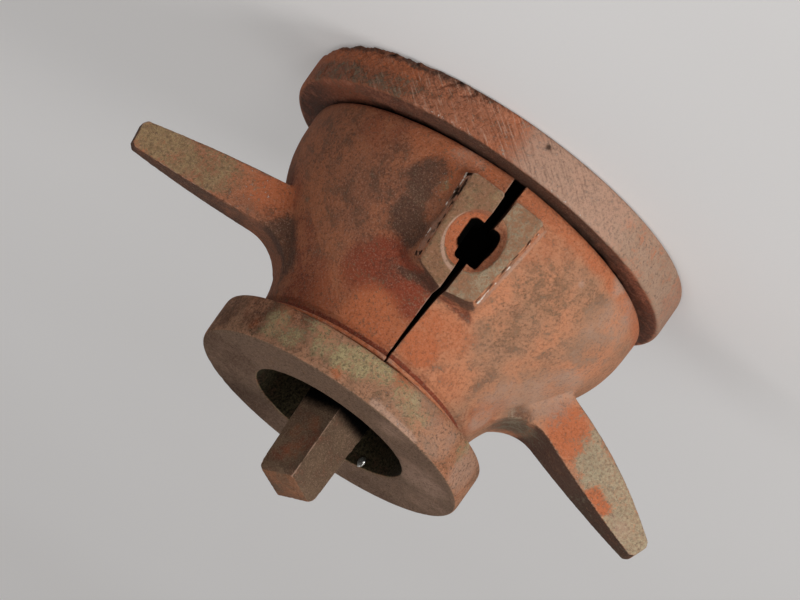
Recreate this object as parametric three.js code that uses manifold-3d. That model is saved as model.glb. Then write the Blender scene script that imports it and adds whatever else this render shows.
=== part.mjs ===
// Four-part bronze mould of a pewter caster, with its end discs, half shells, handles and gate.
// Millimetres, +Z up. Z is the axis the mould was turned on, z = 0 is the back of the large end
// disc, and the pouring gate faces -Y. Left is -X and right is +X, seen from the gate.

import * as THREE from "three";
import { mergeVertices } from "three/addons/utils/BufferGeometryUtils.js";
import Module from "manifold-3d";

const solids = await Module();
solids.setup();
const { Manifold, Mesh: SolidMesh } = solids;

// Large end disc with the core that fills the big end
const discRadius = 75;
const discThickness = 15.6;
const discEdgeRound = 1.2;
const registerHeight = 5;
const backHollowRadius = 44;
const backHollowStraight = 12;
const coreWall = 9;

// Half shells: outer form in the shell's own height, 0 at the big end's face
const shellRadius = 66.2;
const shellBottomRound = 3;
const shellBottomTuck = 70;
const shoulderHeight = 9.5;
const shoulderArc = 43;
const coneAngle = 29.5;
const flareArc = 34;
const flareEndAngle = 8;
const neckRadius = 42.2;
const grooveWidth = 3.6;
const grooveDepth = 1.6;
const beadHeight = 1.9;
const beadRadius = 45;
const beadRound = 0.7;
const shellWall = 8.5;
const castingWall = 3.2;

// Gate pad on each half shell, with its half of the funnel and of the pouring hole
const padBottom = 8.4;
const padLength = 38.4;
const leftPadBottomWidth = 12.2;
const leftPadTopWidth = 10.1;
const leftPadSlant = 1.6;
const rightPadBottomWidth = 13.4;
const rightPadTopWidth = 11.7;
const rightPadSlant = 2.8;
const padDraft = 24;
const padProud = 5.8;
const padFaceSlope = 11.7;
const padRoot = 14;
const padCornerRound = 1.6;
const padTopCornerRound = 3.2;
const padEdgeBevel = 0.5;
const gateHeight = 27.4;
const leftFunnelHalfWidth = 7.2;
const rightFunnelHalfWidth = 9.6;
const funnelHalfHeight = 10.8;
const funnelRise = 1;
const funnelDepth = 5;
const leftHoleHalfWidth = 3.9;
const rightHoleHalfWidth = 2.7;
const holeHeight = 14;
const holeReach = 30;

// Tapered handles, one on each half shell, in the shell's own frame
const handleRootRadius = 60;
const handleRootHeight = 41.3;
const handleRootWidth = 16.8;
const handleBow = 0.65;
const handleTipChamfer = 1.5;
const handleEdgeBevel = 0.8;
const handleInset = 18;
const gussetArc = 16;
const gussetSink = 1.2;
const leftHandleRise = 18.5;
const leftHandleLowerBow = 2.4;
const leftHandleLength = 55;
const leftHandleTipWidth = 8.3;
const leftHandleThickness = 29;
const leftHandleTipThickness = 10.3;
const rightHandleRise = 6.5;
const rightHandleLowerBow = 0.65;
const rightHandleLength = 51.4;
const rightHandleTipWidth = 10.4;
const rightHandleThickness = 19.2;
const rightHandleTipThickness = 6.4;

// Small end disc with its hollow core, and the square bar that stands in it
const ringRadius = 52.5;
const ringThickness = 15.8;
const ringEdgeRound = 1;
const mouthRadius = 29.7;
const mouthRound = 0.8;
const hollowFloorRadius = 24.5;
const floorRound = 3;
const plugRegisterDepth = 8;
const plugDepth = 17;
const plugFloor = 8;
const barSide = 18.8;
const barEndSide = 16.1;
const barProud = 27.4;
const barTurn = 3.5;
const barSocketDepth = 4;
const barEndDrop = 2.4;
const barEndTilt = 2;
const barEndChamfer = 1.5;

// How the pieces sit together. The halves lean out from their small end, as photographed. The right
// half's turned outside sits a little nearer the slit than its bore does, the left half's further out.
const fitGap = 0.3;
const registerClearance = 0.5;
const leftShellLean = 2.4;
const rightShellLean = 0.9;
const rightShellLift = 0.2;
const leftOutsideShift = -1.2;
const rightOutsideShift = 2.7;

const roundSteps = 3;
const arcSteps = 7;
const turnSteps = 96;

const rad = THREE.MathUtils.degToRad;
const sin = (degrees) => Math.sin(rad(degrees));
const cos = (degrees) => Math.cos(rad(degrees));
const tan = (degrees) => Math.tan(rad(degrees));

// Points of an arc about (x, y), angles in degrees
function arc(x, y, radius, from, to, steps) {
  const points = [];
  for (let i = 0; i <= steps; i += 1) {
    const angle = from + ((to - from) * i) / steps;
    points.push([x + radius * cos(angle), y + radius * sin(angle)]);
  }
  return points;
}

// The cone's side, moved inwards by an offset: where its stretches begin and end
function coneSide(offset) {
  const arcRadius = shoulderArc - offset;
  const centreRadius = shellRadius - shoulderArc;
  const topRadius = centreRadius + arcRadius * cos(coneAngle);
  const topHeight = shoulderHeight + arcRadius * sin(coneAngle);
  const outerTop = centreRadius + shoulderArc * cos(coneAngle);
  const flareDrop = flareArc * (cos(flareEndAngle) - cos(coneAngle));
  const straight = (outerTop - neckRadius - flareDrop) / sin(coneAngle);
  const flareRadius = flareArc + offset;
  const bendRadius = topRadius - straight * sin(coneAngle);
  const bendHeight = topHeight + straight * cos(coneAngle);
  const flareCentre = [
    bendRadius + flareRadius * cos(coneAngle),
    bendHeight + flareRadius * sin(coneAngle),
  ];
  return { arcRadius, centreRadius, topRadius, topHeight, bendRadius, bendHeight, flareRadius, flareCentre };
}

const outer = coneSide(0);
const neckHeight = outer.flareCentre[1] - outer.flareRadius * sin(flareEndAngle);
const shellHeight = neckHeight + grooveWidth + beadHeight;
const shellSeat = discThickness + fitGap;
const ringSeat = shellSeat + shellHeight + beadRadius * sin(Math.max(leftShellLean, rightShellLean)) + fitGap;
const boreRadius = shellRadius - shellWall;
const plugRadius = neckRadius - shellWall - registerClearance;

// Radius of the cone's side, moved inwards by an offset, at a height in the shell's own frame
function sideRadius(height, offset) {
  const side = coneSide(offset);
  if (height <= shoulderHeight) {
    return shellRadius - offset;
  }
  if (height <= side.topHeight) {
    return side.centreRadius + Math.sqrt(side.arcRadius ** 2 - (height - shoulderHeight) ** 2);
  }
  if (height <= side.bendHeight) {
    return side.topRadius - (height - side.topHeight) * tan(coneAngle);
  }
  const rise = Math.max(side.flareCentre[1] - height, 0);
  return side.flareCentre[0] - Math.sqrt(side.flareRadius ** 2 - rise ** 2);
}

// Heights at which the cone's side is drawn between two heights, finer where it bends
function sideHeights(from, to, offset) {
  const side = coneSide(offset);
  const heights = [from];
  for (let i = 0; i <= arcSteps; i += 1) {
    heights.push(shoulderHeight + ((side.topHeight - shoulderHeight) * i) / arcSteps);
  }
  for (let i = 0; i <= arcSteps; i += 1) {
    const angle = coneAngle + ((flareEndAngle - coneAngle) * i) / arcSteps;
    heights.push(side.flareCentre[1] - side.flareRadius * sin(angle));
  }
  const inside = heights.filter((height) => height > from + 0.05 && height < to - 0.05);
  return [from, ...inside, to];
}

// A solid turned about Z from [radius, height] points that start and end on the axis
function turned(points, steps = turnSteps) {
  const profile = points.map(([radius, height]) => new THREE.Vector2(radius, height));
  return new THREE.LatheGeometry(profile, steps).rotateX(Math.PI / 2);
}

// A slab drawn in the XZ plane and thickened along Y between -0.5 and +0.5
function slab(outline, bevelX, bevelY) {
  const shape = new THREE.Shape(outline.map(([x, z]) => new THREE.Vector2(x, z)));
  const geometry = new THREE.ExtrudeGeometry(shape, {
    depth: 1 - 2 * bevelY,
    bevelEnabled: true,
    bevelSize: bevelX,
    bevelOffset: -bevelX,
    bevelThickness: bevelY,
    bevelSegments: 2,
  });
  return geometry.translate(0, 0, bevelY - 0.5).rotateX(Math.PI / 2);
}

// Moves every vertex by a function of its position
function reshape(geometry, move) {
  const position = geometry.getAttribute("position");
  const point = new THREE.Vector3();
  for (let i = 0; i < position.count; i += 1) {
    point.fromBufferAttribute(position, i);
    move(point);
    position.setXYZ(i, point.x, point.y, point.z);
  }
  return geometry;
}

// A closed body for the booleans, with shared corners and no flat triangles
function body(geometry) {
  const bare = new THREE.BufferGeometry();
  bare.setAttribute("position", geometry.getAttribute("position").clone());
  if (geometry.index) {
    bare.setIndex(geometry.index.clone());
  }
  const merged = mergeVertices(bare, 1e-4);
  const corners = merged.index.array;
  const kept = [];
  for (let i = 0; i < corners.length; i += 3) {
    const [a, b, c] = [corners[i], corners[i + 1], corners[i + 2]];
    if (a !== b && b !== c && c !== a) {
      kept.push(a, b, c);
    }
  }
  const mesh = new SolidMesh({
    numProp: 3,
    vertProperties: new Float32Array(merged.getAttribute("position").array),
    triVerts: new Uint32Array(kept),
  });
  return new Manifold(mesh);
}

// The named mesh of a finished body
function piece(name, solid, material) {
  const { vertProperties, triVerts, numProp } = solid.getMesh();
  const corners = new Float32Array((vertProperties.length / numProp) * 3);
  for (let i = 0; i < corners.length / 3; i += 1) {
    corners.set(vertProperties.subarray(i * numProp, i * numProp + 3), i * 3);
  }
  const geometry = new THREE.BufferGeometry();
  geometry.setAttribute("position", new THREE.BufferAttribute(corners, 3));
  geometry.setIndex(new THREE.BufferAttribute(new Uint32Array(triVerts), 1));
  geometry.computeVertexNormals();
  const mesh = new THREE.Mesh(geometry, material);
  mesh.name = name;
  return mesh;
}

function bronze(color, roughness) {
  return new THREE.MeshStandardMaterial({ color, roughness, metalness: 0.35 });
}

// Large end disc, its register and the hollow core above it
function baseCore() {
  const coreOffset = shellWall + castingWall;
  const coreTop = shellHeight - plugDepth - castingWall;
  const side = sideHeights(registerHeight, coreTop, coreOffset)
    .map((height) => [sideRadius(height, coreOffset), height + shellSeat]);
  const hollowTop = coreTop + shellSeat - coreWall;
  const hollowTopRadius = sideRadius(coreTop, coreOffset) - coreWall;
  const hollow = [
    [0, -1],
    [backHollowRadius, -1],
    [backHollowRadius, backHollowStraight],
    ...arc(hollowTopRadius - coreWall / 2, hollowTop - coreWall / 2, coreWall / 2, 15, 90, roundSteps),
    [0, hollowTop],
  ];
  const round = discEdgeRound;
  const form = [
    [0, 0],
    ...arc(discRadius - round, round, round, -90, 0, roundSteps),
    ...arc(discRadius - round, discThickness - round, round, 0, 90, roundSteps),
    [boreRadius - registerClearance, discThickness],
    [boreRadius - registerClearance, shellSeat + registerHeight],
    ...side,
    [0, coreTop + shellSeat],
  ];
  const solid = body(turned(form)).subtract(body(turned(hollow)));
  return piece("base_disc_core", solid, bronze(0x9c6a50, 0.75));
}

// The shell's outer form, before it is halved and bored
function shellForm() {
  const tuckRadius = shellRadius - shellBottomRound;
  const tuckHeight = shellBottomRound * sin(shellBottomTuck);
  const side = sideHeights(tuckHeight, neckHeight, 0).map((height) => [sideRadius(height, 0), height]);
  const grooveRadius = neckRadius - grooveDepth;
  const beadBottom = neckHeight + grooveWidth;
  return [
    [0, 0],
    ...arc(tuckRadius, tuckHeight, shellBottomRound, -shellBottomTuck, 0, arcSteps),
    ...side.slice(1),
    [grooveRadius, neckHeight + grooveDepth / 2],
    [grooveRadius, beadBottom],
    ...arc(beadRadius - beadRound, beadBottom + beadRound, beadRound, -90, 0, roundSteps),
    ...arc(beadRadius - beadRound, shellHeight - beadRound, beadRound, 0, 90, roundSteps),
    [0, shellHeight],
  ];
}

// The hollow that runs through both half shells
function shellBore() {
  const boreTop = neckHeight - plugRegisterDepth + grooveWidth + beadHeight;
  const side = sideHeights(shoulderHeight, boreTop, shellWall)
    .map((height) => [Math.max(sideRadius(height, shellWall), plugRadius + registerClearance), height]);
  return [
    [0, -1],
    [boreRadius, -1],
    ...side,
    [plugRadius + registerClearance, boreTop],
    [plugRadius + registerClearance, shellHeight + 1],
    [0, shellHeight + 1],
  ];
}

// A gate pad on the right side: its face leans in towards the small end and its long side slopes out
function gatePad({ bottomWidth, topWidth, slant }) {
  const top = padBottom + padLength;
  const round = padCornerRound;
  const topRound = padTopCornerRound;
  const outline = [
    ...arc(round, padBottom + round, round, 180, 270, roundSteps),
    ...arc(bottomWidth - round, padBottom + round, round, 270, 360, roundSteps),
    ...arc(topWidth - topRound, top - slant - topRound, topRound, 0, 90, roundSteps),
    [0, top],
  ];
  return reshape(slab(outline, padEdgeBevel, padEdgeBevel / padRoot), (point) => {
    const face = shellRadius + padProud - (point.z - padBottom) * tan(padFaceSlope);
    const depth = (point.y + 0.5) * padRoot;
    point.y = -face + depth;
    point.x *= 1 + (tan(padDraft) * depth) / bottomWidth;
  });
}

// Half of the funnel and of the pouring hole, cut through pad and wall
function gateCut({ funnelHalfWidth, holeHalfWidth }) {
  const face = shellRadius + padProud - (gateHeight - padBottom) * tan(padFaceSlope);
  const dish = [[0, -funnelDepth]];
  for (let i = 1; i <= arcSteps; i += 1) {
    const angle = (90 * i) / arcSteps;
    dish.push([sin(angle), -funnelDepth * cos(angle)]);
  }
  dish.push([1.3, funnelDepth], [0, funnelDepth]);
  const funnel = turned(dish, 40)
    .rotateX(Math.PI / 2)
    .scale(funnelHalfWidth, 1, funnelHalfHeight)
    .translate(0, -face, gateHeight + funnelRise);
  const hole = new THREE.BoxGeometry(2 * holeHalfWidth, holeReach, holeHeight);
  hole.translate(0, holeReach / 2 - face, gateHeight);
  return body(funnel).add(body(hole));
}

// A tapered handle with slightly bowed edges and the web that runs from it down to the neck
function handle({ rise, lowerBow, length, rootThickness, tipWidth, tipThickness }) {
  const along = new THREE.Vector2(cos(rise), sin(rise));
  const across = new THREE.Vector2(-sin(rise), cos(rise));
  const root = new THREE.Vector2(handleRootRadius, handleRootHeight);
  const at = (distance, side, bow = 0) => {
    const width = handleRootWidth + ((tipWidth - handleRootWidth) * distance) / length;
    return root.clone().addScaledVector(along, distance).addScaledVector(across, side * (width / 2 + bow));
  };
  const edge = (from, to, side, bow) => {
    const points = [];
    for (let i = 0; i <= arcSteps; i += 1) {
      const share = i / arcSteps;
      points.push(at(from + (to - from) * share, side, 4 * bow * share * (1 - share)));
    }
    return points;
  };
  // The web's arc touches the handle's edge and the cone's side
  const edgeRoot = at(0, 1);
  const edgeOut = at(length, 1).sub(edgeRoot).normalize();
  const coneUp = new THREE.Vector2(-sin(coneAngle), cos(coneAngle));
  const conePoint = new THREE.Vector2(outer.topRadius - gussetSink, outer.topHeight);
  const apart = conePoint.clone().sub(edgeRoot);
  const reach = apart.cross(coneUp) / edgeOut.cross(coneUp);
  const corner = edgeRoot.clone().addScaledVector(edgeOut, reach);
  const opening = Math.acos(edgeOut.dot(coneUp));
  const touch = gussetArc / Math.tan(opening / 2);
  const middle = edgeOut.clone().add(coneUp).normalize();
  const centre = corner.clone().addScaledVector(middle, gussetArc / Math.sin(opening / 2));
  const webStart = corner.clone().addScaledVector(edgeOut, touch);
  const webEnd = corner.clone().addScaledVector(coneUp, touch);
  const start = webStart.clone().sub(centre);
  const end = webEnd.clone().sub(centre);
  const startAngle = THREE.MathUtils.radToDeg(Math.atan2(start.y, start.x));
  const sweep = THREE.MathUtils.radToDeg(Math.atan2(start.cross(end), start.dot(end)));
  const web = arc(centre.x, centre.y, gussetArc, startAngle, startAngle + sweep, arcSteps);

  const shoulder = length - handleTipChamfer;
  const corners = [
    at(-handleInset, -1),
    ...edge(0, shoulder, -1, lowerBow),
    at(length, -1, -handleTipChamfer),
    at(length, 1, -handleTipChamfer),
    ...edge(shoulder, webStart.clone().sub(root).dot(along), 1, handleBow),
  ];
  const outline = [
    ...corners.map((point) => [point.x, point.y]),
    ...web.slice(1),
    [webEnd.x - handleInset / 2, webEnd.y],
  ];
  return reshape(slab(outline, handleEdgeBevel, handleEdgeBevel / rootThickness), (point) => {
    const distance = (point.x - root.x) * along.x + (point.z - root.y) * along.y;
    const share = Math.max(distance / length, -0.2);
    point.y *= rootThickness + (tipThickness - rootThickness) * share;
  });
}

// Turns a right-hand solid's geometry into its mirror image across X = 0
function mirrored(geometry) {
  const flipped = geometry.index ? geometry.toNonIndexed() : geometry;
  flipped.scale(-1, 1, 1);
  const position = flipped.getAttribute("position");
  const one = new THREE.Vector3();
  const two = new THREE.Vector3();
  for (let i = 0; i < position.count; i += 3) {
    one.fromBufferAttribute(position, i);
    two.fromBufferAttribute(position, i + 1);
    position.setXYZ(i, two.x, two.y, two.z);
    position.setXYZ(i + 1, one.x, one.y, one.z);
  }
  return flipped;
}

// One half shell with its handle and its half of the gate; side is -1 for left, 1 for right. The
// outside is shifted towards the slit, less and less from the cone's foot up to the neck.
function halfShell(name, side, { handleForm, padForm, gateForm, outsideShift }) {
  const turnToSide = (geometry) => (side < 0 ? mirrored(geometry) : geometry);
  const size = 3 * discRadius;
  const half = new THREE.BoxGeometry(size, size, size).translate((side * size) / 2, 0, 0);
  const outside = reshape(turned(shellForm()), (point) => {
    const share = (neckHeight - point.z) / (neckHeight - outer.topHeight);
    point.x -= side * outsideShift * Math.min(Math.max(share, 0), 1);
  });
  const solid = body(outside)
    .add(body(turnToSide(handle(handleForm))))
    .add(body(turnToSide(gatePad(padForm))))
    .intersect(body(half))
    .subtract(body(turned(shellBore())))
    .subtract(gateCut(gateForm));
  return piece(name, solid, bronze(0xb2694a, 0.8));
}

// Leans a half shell out about its big end's inner corner, so the slit closes at the small end
function leaningShell(shell, side, lean, lift) {
  const group = new THREE.Group();
  group.name = `${shell.name}_seat`;
  group.position.set(side * (shellHeight * sin(lean) + fitGap / 2), 0, shellSeat + lift);
  group.rotation.y = -side * rad(lean);
  group.add(shell);
  return group;
}

// Small end disc with its hollow core, height 0 at the back of the disc
function topCore() {
  const plugEnd = -plugDepth - ringSeat + shellSeat + shellHeight;
  const plugStep = -plugRegisterDepth - ringSeat + shellSeat + shellHeight;
  const tipRadius = plugRadius + registerClearance - castingWall;
  const floor = plugEnd + plugFloor;
  const round = ringEdgeRound;
  const form = [
    [0, plugEnd],
    [tipRadius - 1, plugEnd],
    [tipRadius, plugEnd + 1],
    [tipRadius, plugStep],
    [plugRadius, plugStep],
    [plugRadius, 0],
    ...arc(ringRadius - round, round, round, -90, 0, roundSteps),
    ...arc(ringRadius - round, ringThickness - round, round, 0, 90, roundSteps),
    ...arc(mouthRadius + mouthRound, ringThickness - mouthRound, mouthRound, 90, 180, roundSteps),
    ...arc(hollowFloorRadius - floorRound, floor + floorRound, floorRound, 0, -90, roundSteps),
    [0, floor],
  ];
  const socketSide = barSide + 2 * fitGap;
  const socket = new THREE.BoxGeometry(socketSide, socketSide, 2 * barSocketDepth);
  socket.rotateZ(rad(45 + barTurn)).translate(0, 0, floor);
  const solid = body(turned(form)).subtract(body(socket));
  const mesh = piece("top_ring_core", solid, bronze(0x8a6450, 0.7));
  return { mesh, floor };
}

// Square bar that narrows to its worn end, which is slightly domed and slopes down towards the gate
function coreBar(floor) {
  const corner = barSide / Math.SQRT2;
  const endCorner = barEndSide / Math.SQRT2;
  const foot = floor - barSocketDepth + fitGap;
  const end = ringThickness + barProud;
  const form = [
    [0, foot],
    [corner, foot],
    [endCorner, end - barEndDrop],
    [endCorner - barEndChamfer, end - barEndDrop / 3],
    [endCorner / 2, end - barEndDrop / 10],
    [0, end],
  ];
  const bar = reshape(turned(form, 4), (point) => {
    const isEnd = point.z > foot + barSocketDepth;
    point.z += isEnd ? (barEndTilt * point.y) / endCorner : 0;
  });
  const mesh = piece("core_bar", body(bar), bronze(0x6f5140, 0.6));
  mesh.rotation.z = rad(barTurn);
  return mesh;
}

const mould = new THREE.Group();
mould.name = "bronze_casting_mould";
mould.add(baseCore());
const leftHandle = {
  rise: leftHandleRise,
  lowerBow: leftHandleLowerBow,
  length: leftHandleLength,
  rootThickness: leftHandleThickness,
  tipWidth: leftHandleTipWidth,
  tipThickness: leftHandleTipThickness,
};
const rightHandle = {
  rise: rightHandleRise,
  lowerBow: rightHandleLowerBow,
  length: rightHandleLength,
  rootThickness: rightHandleThickness,
  tipWidth: rightHandleTipWidth,
  tipThickness: rightHandleTipThickness,
};
const leftPad = { bottomWidth: leftPadBottomWidth, topWidth: leftPadTopWidth, slant: leftPadSlant };
const rightPad = { bottomWidth: rightPadBottomWidth, topWidth: rightPadTopWidth, slant: rightPadSlant };
const leftShell = halfShell("shell_left", -1, {
  handleForm: leftHandle,
  padForm: leftPad,
  gateForm: { funnelHalfWidth: leftFunnelHalfWidth, holeHalfWidth: leftHoleHalfWidth },
  outsideShift: leftOutsideShift,
});
const rightShell = halfShell("shell_right", 1, {
  handleForm: rightHandle,
  padForm: rightPad,
  gateForm: { funnelHalfWidth: rightFunnelHalfWidth, holeHalfWidth: rightHoleHalfWidth },
  outsideShift: rightOutsideShift,
});
mould.add(leaningShell(leftShell, -1, leftShellLean, 0));
mould.add(leaningShell(rightShell, 1, rightShellLean, rightShellLift));

const topCoreSeat = new THREE.Group();
topCoreSeat.name = "top_core_seat";
topCoreSeat.position.z = ringSeat;
const top = topCore();
topCoreSeat.add(top.mesh);
topCoreSeat.add(coreBar(top.floor));
mould.add(topCoreSeat);

export default mould;
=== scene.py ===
"""Looks of a four-part bronze casting mould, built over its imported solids. Metres, +Z up.

Z is the axis that the mould was turned on, and the pouring gate faces -Y.
"""

import math

import bmesh
import bpy
import numpy as np
from mathutils import Matrix, Vector


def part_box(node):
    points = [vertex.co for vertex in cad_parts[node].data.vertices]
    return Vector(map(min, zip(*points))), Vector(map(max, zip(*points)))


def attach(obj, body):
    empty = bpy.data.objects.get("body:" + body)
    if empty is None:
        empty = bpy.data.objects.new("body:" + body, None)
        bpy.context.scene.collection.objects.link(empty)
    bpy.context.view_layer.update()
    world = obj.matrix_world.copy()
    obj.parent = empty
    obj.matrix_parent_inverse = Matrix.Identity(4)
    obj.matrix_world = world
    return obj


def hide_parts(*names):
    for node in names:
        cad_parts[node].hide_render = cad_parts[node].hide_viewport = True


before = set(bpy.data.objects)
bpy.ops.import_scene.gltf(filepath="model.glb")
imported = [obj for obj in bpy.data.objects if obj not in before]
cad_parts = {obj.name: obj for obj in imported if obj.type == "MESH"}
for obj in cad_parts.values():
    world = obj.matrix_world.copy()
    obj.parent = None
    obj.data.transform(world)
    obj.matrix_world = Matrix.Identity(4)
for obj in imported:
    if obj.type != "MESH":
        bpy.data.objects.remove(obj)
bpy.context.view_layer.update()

MM = 0.001

# Camera, fitted to the photograph: a long lens, rolled so that the turning axis runs down to the left
CAMERA_PLACE = Vector((0.25356, -3.31980, 0.97967))
CAMERA_TARGET = Vector((0.00453, 0.00034, 0.05669))
CAMERA_ROLL = math.radians(-144.652)
CAMERA_LENS = 452.64
SENSOR_WIDTH = 36

# Sizes read from the frame
base_low, base_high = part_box("base_disc_core")
ring_low, ring_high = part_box("top_ring_core")
DISC_RADIUS = (base_high.y - base_low.y) / 2
RING_RADIUS = (ring_high.y - ring_low.y) / 2
RING_FACE = ring_high.z

# Sizes of the mould that the frame's boxes don't give
DISC_THICKNESS = 15.6 * MM
RING_THICKNESS = 15.8 * MM
MOUTH_RADIUS = 29.7 * MM
SHELL_SEAT = 15.9 * MM
SHELL_HEIGHT = 73.55 * MM
HALF_GAP = 0.15 * MM
# For each half shell: its side, its lean in degrees, its lift, how far its turned outside is shifted
# towards the slit, and its gate pad's widths at the large and the small end
SHELLS = {
    "shell_left": (-1, 2.4, 0, -1.2 * MM, 12.2 * MM, 10.1 * MM),
    "shell_right": (1, 0.9, 0.2 * MM, 2.7 * MM, 13.4 * MM, 11.7 * MM),
}
# In a half shell's own frame, which stands on its foot: its shoulder's radius, the heights of its cone's foot
# and of its neck, half the width of its handle, and the height of the gate's middle
SHOULDER_RADIUS = 66.2 * MM
CONE_FOOT = 30.7 * MM
NECK_HEIGHT = 68.05 * MM
HANDLE_HALF = 17 * MM
GATE_HEIGHT = 27.4 * MM
# The gate pad in that frame: its lower end, its length, how far its face is from the axis there, how much
# nearer the face comes per length, how fast its sides fall away, and a half width that takes in its sides
PAD_BOTTOM = 8.4 * MM
PAD_LENGTH = 38.4 * MM
PAD_FACE = 72 * MM
PAD_SLANT = 0.207
PAD_FALL = 0.445
PAD_HALF = 19 * MM
# Heights of the bands turned into the neck
GROOVE = (69.2 * MM, 71.6 * MM)
BEAD = (71.8 * MM, 74 * MM)
# Angle between the solids' flat facets on turned surfaces
TURN_STEP = 2 * math.pi / 96

# Width of the cracks in millimetres, and how dark the hidden insides and undersides are painted, as painted
# shade
CRACK_WIDTH = 1.7
HIDDEN_SHADE = 0.66

# Bends, per millimetre, at which the wear of edges and the painted shade of corners start and are full
EDGE_BEND = (0.05, 0.26)

# Mesh cells, and the most triangles that one piece keeps
FINE = 1.0
CELL = 0.45 * MM * FINE
BAR_CELL = 0.3 * MM * FINE
MOST_TRIANGLES = 190_000

# How much light the floor adds for the camera, so that it looks as pale as a studio table
FLOOR_GLOW = 0.33
# What the lamps shine on
LAMP_TARGET = Vector((0, 0, 0.05))
# Each lamp's name, place, size across and power in watts
LAMPS = [
    ("key", (-1.5, -1.7, 0.62), 1.0, 36),
    ("front", (-0.15, -2.4, 0.62), 0.5, 12),
    ("top", (0.5, -0.8, 2.2), 1.6, 10),
]

LATTICE = np.random.default_rng(7).random((64, 64, 64))


# Noise and blends over arrays of points

def noise(points, size, seed=0):
    """Smooth noise from -1 to 1, with features of about that size."""
    place = points / size + 17.31 * (seed + 1)
    cell = np.floor(place).astype(int)
    part = place - cell
    part = part * part * (3 - 2 * part)
    total = np.zeros(len(points))
    for corner in np.ndindex(2, 2, 2):
        weight = np.ones(len(points))
        for axis in range(3):
            weight *= part[:, axis] if corner[axis] else 1 - part[:, axis]
        x, y, z = ((cell + corner) % len(LATTICE)).T
        total += weight * LATTICE[x, y, z]
    return 2 * total - 1


def rough_noise(points, size, seed=0, octaves=3):
    """Noise with finer and weaker noise added to it."""
    total = np.zeros(len(points))
    for octave in range(octaves):
        total += noise(points, size / 2 ** octave, seed + 5 * octave) / 2 ** octave
    return total / 1.6


def ease(value, low, high):
    """0 below low, 1 above high and smooth between; high may be the smaller."""
    share = np.clip((value - low) / (high - low), 0, 1)
    return share * share * (3 - 2 * share)


def spots(points, places):
    """The strongest of some soft round spots, each (x, y, z, radius, strength) in millimetres."""
    total = np.zeros(len(points))
    for x, y, z, radius, strength in places:
        away = np.linalg.norm(points - np.array((x, y, z)) * MM, axis=1)
        total = np.maximum(total, strength * ease(away, radius * MM, 0.35 * radius * MM))
    return total


def swerved(points):
    """Points moved by soft noise, for stains with uneven outlines."""
    return points + 2 * MM * np.column_stack([rough_noise(points, 9 * MM, seed) for seed in (41, 42, 43)])


def lines(points, width, routes):
    """1 on some lines through (x, y, z) corners in millimetres, 0 half a width away from them."""
    total = np.zeros(len(points))
    for route in routes:
        corners = np.array(route) * MM
        for start, end in zip(corners[:-1], corners[1:]):
            along = end - start
            share = np.clip((points - start) @ along / (along @ along), 0, 1)
            away = np.linalg.norm(points - start - share[:, None] * along, axis=1)
            total = np.maximum(total, ease(away, width / 2 * MM, 0.1 * width * MM))
    return total


def azimuth(points):
    """Degrees about the turning axis, 0 at +X and -90 at the gate."""
    return np.degrees(np.arctan2(points[:, 1], points[:, 0]))


def around(points, middle, width):
    """1 at an azimuth, and 0 at half the width or more away from it, in degrees."""
    off = np.abs((azimuth(points) - middle + 180) % 360 - 180)
    return ease(off, width / 2, width / 5)


def reach(points):
    """Distance from the turning axis."""
    return np.hypot(points[:, 0], points[:, 1])


def arcs(points, places):
    """The sum of some stretches round the axis, each (azimuth, width, strength) in degrees.

    Two more numbers, where given, are the heights in millimetres at which it starts and is whole.
    """
    total = np.zeros(len(points))
    for middle, width, strength, *heights in places:
        share = strength * around(points, middle, width)
        if heights:
            share = share * ease(points[:, 2], heights[0] * MM, heights[1] * MM)
        total += share
    return total


def dashes(points, size, seed):
    """Short broken marks."""
    return ease(rough_noise(points, size, seed), -0.2, 0.25)


def strongest(*layers):
    """The greatest of some layers of paint at each point."""
    return np.max(layers, axis=0)


def stained(points, cover, stains):
    """The spots of each kind of stain, as far as the cover reaches."""
    return {name: cover * spots(points, places) for name, places in stains.items()}


# Meshes

def linked(name, data):
    """A new object with that data, in the scene."""
    made = bpy.data.objects.new(name, data)
    bpy.context.scene.collection.objects.link(made)
    return made


def modified(mesh, kind, **settings):
    """A new mesh that a modifier makes of this one, which is then removed."""
    holder = linked("holder", mesh)
    modifier = holder.modifiers.new("change", kind)
    for name, value in settings.items():
        setattr(modifier, name, value)
    graph = bpy.context.evaluated_depsgraph_get()
    result = bpy.data.meshes.new_from_object(holder.evaluated_get(graph))
    bpy.data.objects.remove(holder)
    bpy.data.meshes.remove(mesh)
    return result


def even_mesh(node, cell):
    """A node's solid as an even mesh, with cells of about that size."""
    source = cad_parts[node].data.copy()
    work = bmesh.new()
    work.from_mesh(source)
    bmesh.ops.remove_doubles(work, verts=work.verts, dist=0.002 * MM)
    work.to_mesh(source)
    work.free()
    return modified(source, "REMESH", mode="VOXEL", voxel_size=cell)


def points_of(mesh):
    """The mesh's points, one row each."""
    flat = np.zeros(len(mesh.vertices) * 3)
    mesh.vertices.foreach_get("co", flat)
    return flat.reshape(-1, 3)


def set_points(mesh, points):
    mesh.vertices.foreach_set("co", points.astype(np.float32).ravel())
    mesh.update()


def normals_of(mesh):
    flat = np.zeros(len(mesh.vertices) * 3, np.float32)
    mesh.vertex_normals.foreach_get("vector", flat)
    return flat.reshape(-1, 3).astype(float)


def edges_of(mesh):
    flat = np.zeros(len(mesh.edges) * 2, np.int32)
    mesh.edges.foreach_get("vertices", flat)
    return flat.reshape(-1, 2)


def neighbour_mean(values, edges):
    """The mean of each point's neighbours, for values with one or more columns."""
    columns = values.reshape(len(values), -1)
    one, two = edges.T
    count = np.bincount(one, minlength=len(values)) + np.bincount(two, minlength=len(values))
    total = [
        np.bincount(one, column[two], len(values)) + np.bincount(two, column[one], len(values))
        for column in columns.T
    ]
    return (np.array(total) / count).T.reshape(values.shape)


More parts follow.
